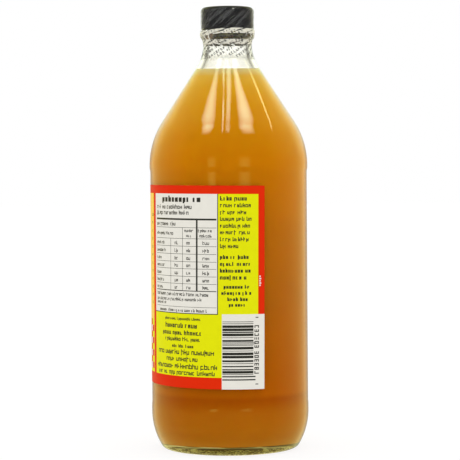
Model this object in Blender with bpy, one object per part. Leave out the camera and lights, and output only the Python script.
# Clear glass vinegar bottle, 946 ml, shut with a screw cap under a shrink film.
# Metres, +Z up. The bottle's axis is Z and its bearing ring stands on z = 0.
# Azimuth 0 faces -Y and grows towards +X.

import bpy
import bmesh
from math import asin, cos, hypot, pi, radians, sin, tan

# body
shoulderRadius = 0.04383    # widest, just above the label panel
heelRadius = 0.0436         # contact band under the label panel
panelRadius = 0.0432        # recess that takes the label
panelLow, panelTop = 0.0267, 0.1556
panelStep = 0.0012          # height of the ramp at either end of the recess
wall = 0.0024               # glass thickness at the panel

# shoulder and neck: an arc, a cone and a hollow arc, each tangent to the next
shoulderHeight = 0.1568
shoulderArc = 0.0443
coneAngle = radians(32.84)  # from the axis
neckRadius = 0.01325
neckArc = 0.026

# finish
ringRadius = 0.0149
ringLow, ringTop = 0.2267, 0.2299
finishRadius = 0.0127
lipHeight = 0.2426

# heel and base
heelHeight = 0.0209
heelArc = 0.0373
bearingCorner = 0.0039
bearingWidth = 0.0025
pushUp = 0.0036
floorHeight = 0.0054
floorDome = 0.003
floorCorner = 0.011

# contents, closure, film and label
fillHeight = 0.2091
clearance = 0.0003
capRadius, capBore = 0.01445, 0.01315
capLow, capTop = 0.232, 0.2442
capCorner, capPlate = 0.0013, 0.0013
bandLow, bandTop = 0.2156, 0.2431
bandGap, bandThickness = 0.00015, 0.00025
labelLow, labelTop = 0.0368, 0.1459
labelGap, labelThickness = 0.00025, 0.0002
labelEdge = radians(25.7)   # azimuth of its right-hand edge
labelWrap = radians(284.0)  # how far it runs round from there, to the left
segments = 60

for thing in list(bpy.data.objects):
    bpy.data.objects.remove(thing, do_unlink=True)


def arc(centre, radius, start, end, steps):
    turns = [start + (end - start) * i / steps for i in range(steps + 1)]
    return [(centre[0] + radius * cos(t), centre[1] + radius * sin(t)) for t in turns]


def offsetPath(path, distance):
    # moves an open path sideways, to the right of the way it runs
    moved = []
    for i, (r, z) in enumerate(path):
        sides = []
        for a, b in ((i - 1, i), (i, i + 1)):
            if a >= 0 and b < len(path):
                dr, dz = path[b][0] - path[a][0], path[b][1] - path[a][1]
                length = hypot(dr, dz)
                sides.append((dz / length, -dr / length))
        nr = sum(s[0] for s in sides) / len(sides)
        nz = sum(s[1] for s in sides) / len(sides)
        size = nr * nr + nz * nz
        moved.append((r + distance * nr / size, z + distance * nz / size))
    return moved


def neckTangents(depth):
    # shoulder, cone and neck at a depth below the outer surface: lower tangent point, neck arc's height
    arcRadius = shoulderArc - depth
    low = (shoulderRadius - shoulderArc + arcRadius * cos(coneAngle), shoulderHeight + arcRadius * sin(coneAngle))
    hollow = neckArc + depth
    high = neckRadius - depth + hollow * (1 - cos(coneAngle))
    height = low[1] + (low[0] - high) / tan(coneAngle) + hollow * sin(coneAngle)
    return height


def shoulderPath(depth, steps):
    centre = (shoulderRadius - shoulderArc, shoulderHeight)
    return arc(centre, shoulderArc - depth, 0, coneAngle, steps)


def neckPath(depth, steps):
    centre = (neckRadius + neckArc, neckTangents(depth))
    return arc(centre, neckArc + depth, pi + coneAngle, pi, steps)


def heelPath():
    lean = asin((heelHeight - bearingCorner) / (heelArc - bearingCorner))
    bearing = heelRadius - heelArc + (heelArc - bearingCorner) * cos(lean)
    corner = arc((bearing, bearingCorner), bearingCorner, -pi / 2, -lean, 3)
    heel = arc((heelRadius - heelArc, heelHeight), heelArc, -lean, 0, 4)
    return bearing, corner + heel[1:]


def dome(edge, low, rise, steps):
    # from the axis outwards: highest in the middle, level at the edge
    radii = [edge * i / steps for i in range(steps + 1)]
    return [(r, low + rise * (1 + cos(pi * r / edge)) / 2) for r in radii]


def hollowPath(gap, top):
    # the inside of the glass from the axis up to a given height, a gap clear of it
    inner = panelRadius - wall - gap
    corner = floorCorner - gap
    base = floorHeight + gap
    floor = dome(inner - corner, base, floorDome, 3)
    turn = arc((inner - corner, base + corner), corner, -pi / 2, 0, 4)
    depth = shoulderRadius - inner
    path = floor + turn[1:] + shoulderPath(depth, 4) + neckPath(depth, 4)
    kept = [p for p in path if p[1] < top - 0.0005]
    a, b = kept[-1], next((p for p in path if p[1] >= top - 0.0005), (kept[-1][0], top))
    share = min(1, (top - a[1]) / (b[1] - a[1]))
    kept.append((a[0] + (b[0] - a[0]) * share, top))
    return kept


def makeMaterial(name, colour, roughness, transmission=0.0):
    material = bpy.data.materials.new(name)
    material.use_nodes = True
    shader = material.node_tree.nodes["Principled BSDF"]
    shader.inputs["Base Color"].default_value = (*colour, 1.0)
    shader.inputs["Roughness"].default_value = roughness
    shader.inputs["Metallic"].default_value = 0.0
    shader.inputs["Transmission Weight"].default_value = transmission
    return material


def finishMesh(name, work, material):
    bmesh.ops.recalc_face_normals(work, faces=work.faces)
    for face in work.faces:
        face.smooth = True
    for edge in work.edges:
        edge.smooth = edge.calc_face_angle(0.0) < radians(30)
    mesh = bpy.data.meshes.new(name)
    work.to_mesh(mesh)
    work.free()
    mesh.materials.append(material)
    thing = bpy.data.objects.new(name, mesh)
    bpy.context.scene.collection.objects.link(thing)
    return thing


def lathe(name, profile, material, closed=False):
    # turns a profile of (radius, height) round Z; a point on the axis becomes a pole
    work = bmesh.new()
    rings = []
    for r, z in profile:
        if r < 1e-6:
            rings.append([work.verts.new((0, 0, z))])
        else:
            turns = [2 * pi * i / segments for i in range(segments)]
            rings.append([work.verts.new((r * cos(t), r * sin(t), z)) for t in turns])
    pairs = list(zip(rings, rings[1:]))
    if closed:
        pairs.append((rings[-1], rings[0]))
    for low, high in pairs:
        for i in range(segments):
            j = (i + 1) % segments
            if len(low) == 1:
                work.faces.new((low[0], high[i], high[j]))
            elif len(high) == 1:
                work.faces.new((low[i], low[j], high[0]))
            else:
                work.faces.new((low[i], low[j], high[j], high[i]))
    return finishMesh(name, work, material)


# bottle: outside from the axis to the lip, then back down the inside
bearing, heel = heelPath()
under = dome(bearing - bearingWidth, 0.0, pushUp, 3)
panel = [
    (heelRadius, panelLow - panelStep),
    (panelRadius, panelLow),
    (panelRadius, panelTop - panelStep),
]
ring = [
    (neckRadius + 0.0008, ringLow - 0.0003),
    (ringRadius, ringLow + 0.0006),
    (ringRadius, ringTop - 0.0007),
    (ringRadius - 0.0006, ringTop),
    (finishRadius, ringTop + 0.0005),
]
hollow = hollowPath(0.0, lipHeight - 0.0006)
lip = [
    (finishRadius, lipHeight - 0.0006),
    (finishRadius - 0.0006, lipHeight),
    (hollow[-1][0] + 0.0006, lipHeight),
]
outside = under + heel + panel + shoulderPath(0.0, 4) + neckPath(0.0, 4)
glass = makeMaterial("clear_glass", (0.93, 0.96, 0.92), 0.03, 1.0)
lathe("glass_bottle", outside + ring + lip + hollow[::-1], glass)

# vinegar up to its level, a little clear of the glass
contents = hollowPath(clearance, fillHeight)
amber = makeMaterial("amber_vinegar", (0.58, 0.24, 0.02), 0.1)
lathe("vinegar", contents + [(0.0, fillHeight)], amber)

# cap, open below
capSide = arc((capRadius - capCorner, capTop - capCorner), capCorner, pi / 2, 0, 3)
capSide += [(capRadius, capLow), (capBore, capLow), (capBore, capTop - capPlate)]
charcoal = makeMaterial("black_plastic", (0.02, 0.02, 0.021), 0.35)
lathe("cap", [(0.0, capTop)] + capSide + [(0.0, capTop - capPlate)], charcoal)

# shrink film drawn over the cap's side, the ring and the top of the neck
neck = [p for p in neckPath(0.0, 4) if p[1] > bandLow + 0.001]
low = neckTangents(0.0) - bandLow
start = (neckRadius + neckArc - (neckArc**2 - low**2) ** 0.5, bandLow)
covered = [start] + neck + ring[:3]
covered += [(capRadius, capLow + 0.0003), (capRadius, bandTop)]
inside = offsetPath(covered, bandGap)
skin = offsetPath(covered, bandGap + bandThickness)
film = makeMaterial("clear_film", (0.95, 0.95, 0.93), 0.15, 0.9)
lathe("neck_band", inside + skin[::-1], film, closed=True)

# label: one sheet wrapped most of the way round the panel
work = bmesh.new()
near = panelRadius + labelGap
corners = [
    (near, labelLow),
    (near + labelThickness, labelLow),
    (near + labelThickness, labelTop),
    (near, labelTop),
]
steps = round(segments * labelWrap / (2 * pi))
strips = []
for i in range(steps + 1):
    turn = labelEdge - labelWrap * i / steps
    strips.append([work.verts.new((r * sin(turn), -r * cos(turn), z)) for r, z in corners])
for one, two in zip(strips, strips[1:]):
    for k in range(4):
        work.faces.new((one[k], one[(k + 1) % 4], two[(k + 1) % 4], two[k]))
work.faces.new(strips[0])
work.faces.new(strips[-1])
paper = makeMaterial("label_paper", (0.76, 0.79, 0.02), 0.45)
finishMesh("label", work, paper)
